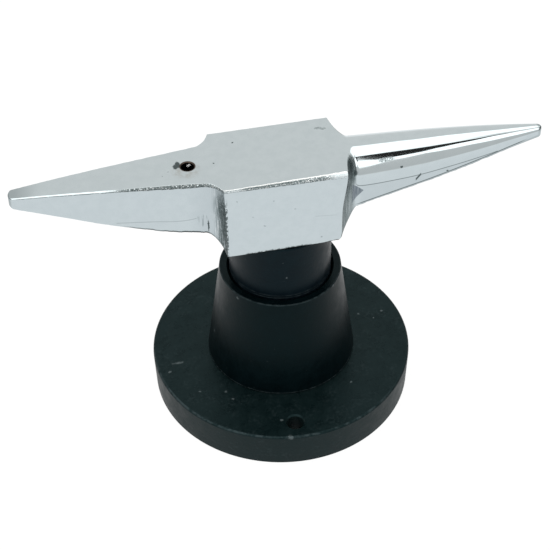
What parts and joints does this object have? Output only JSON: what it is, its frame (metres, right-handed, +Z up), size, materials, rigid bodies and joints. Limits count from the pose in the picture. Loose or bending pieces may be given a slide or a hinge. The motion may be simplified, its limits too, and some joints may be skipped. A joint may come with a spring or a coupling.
{
  "type": "double-horn bench anvil",
  "caption": "Small bench anvil: chromed head with a flat tapered horn and a half-round horn, clamped on a black pedestal with a round foot.",
  "frame": {"origin": "centre of the round foot's underside, on the pedestal's axis", "axes": "+X along the half-round horn, +Z up towards the working face, +Y to the left when looking along +X"},
  "size_m": [0.1456, 0.0762, 0.085],
  "materials": {
    "chrome": "ground and chrome plated, worn at the edges",
    "foot_paint": "semi-gloss black enamel",
    "pedestal_paint": "semi-gloss black enamel",
    "post_paint": "semi-gloss black enamel",
    "black_oxide": "black oxide",
    "spring_steel": "plain spring steel",
    "zinc": "zinc plated"
  },
  "bodies": {
    "base": {"base_flange": "foot_paint", "pedestal": "pedestal_paint"},
    "head": {"anvil_head": "chrome", "post": "post_paint"},
    "washers": {"spring_washer": "spring_steel", "flat_washer": "zinc"},
    "bolt": {"clamp_bolt": "black_oxide"}
  },
  "joints": [
    {"name": "head_swivel", "type": "hinge", "parent": "base", "child": "head", "pos_m": [0, 0, 0.0432], "axis": [0, 0, 1], "continuous": true},
    {"name": "bolt_travel", "type": "slide", "parent": "head", "child": "washers", "axis": [0, 0, 1], "range_m": [-0.00125, 0]},
    {"name": "bolt_turn", "type": "hinge", "parent": "washers", "child": "bolt", "pos_m": [0, 0, 0.0066], "axis": [0, 0, 1], "range_deg": [-370, 0]}
  ],
  "couplings": [
    {"joint": "bolt_turn", "follows": "bolt_travel", "rad_per_m": 5026.5}
  ]
}
